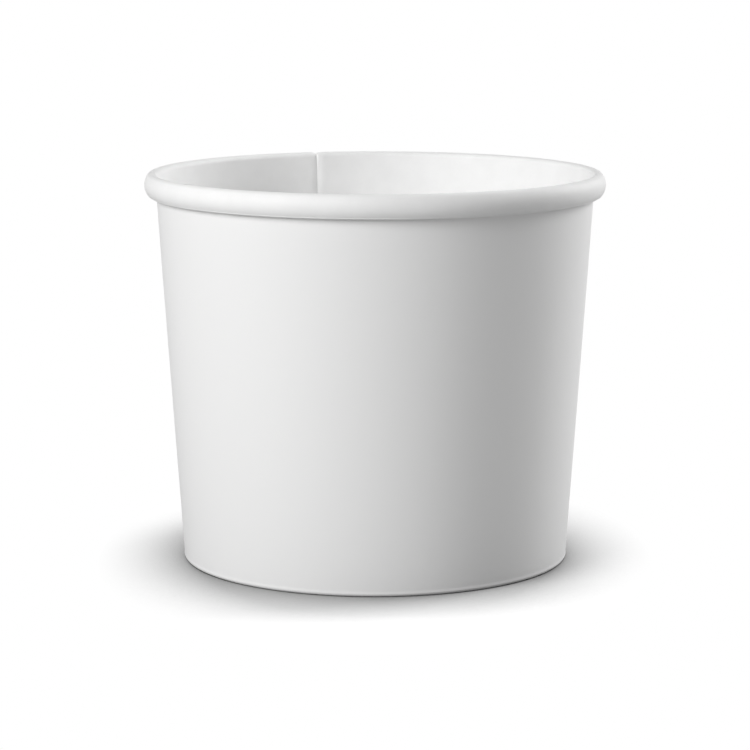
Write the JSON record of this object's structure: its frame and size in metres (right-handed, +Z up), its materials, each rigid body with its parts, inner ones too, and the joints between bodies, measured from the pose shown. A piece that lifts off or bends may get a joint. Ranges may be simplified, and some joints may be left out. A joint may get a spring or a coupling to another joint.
{
  "type": "paper sundae cup",
  "caption": "Open round paper cup for a sundae, tapered to its foot, with a lapped side seam, a rolled rim and a recessed base held in a folded hem.",
  "frame": {"origin": "middle of the foot, on the surface that the cup stands on", "axes": "+Z up along the cup's axis, out of its mouth; +Y to the back of the cup, where the side seam is; +X to the right, seen from the front"},
  "size_m": [0.096, 0.096, 0.0812],
  "materials": {
    "wall_board": "satin",
    "base_board": "satin"
  },
  "bodies": {
    "root": {"side_wall": "wall_board", "base_disc": "base_board"}
  },
  "joints": []
}
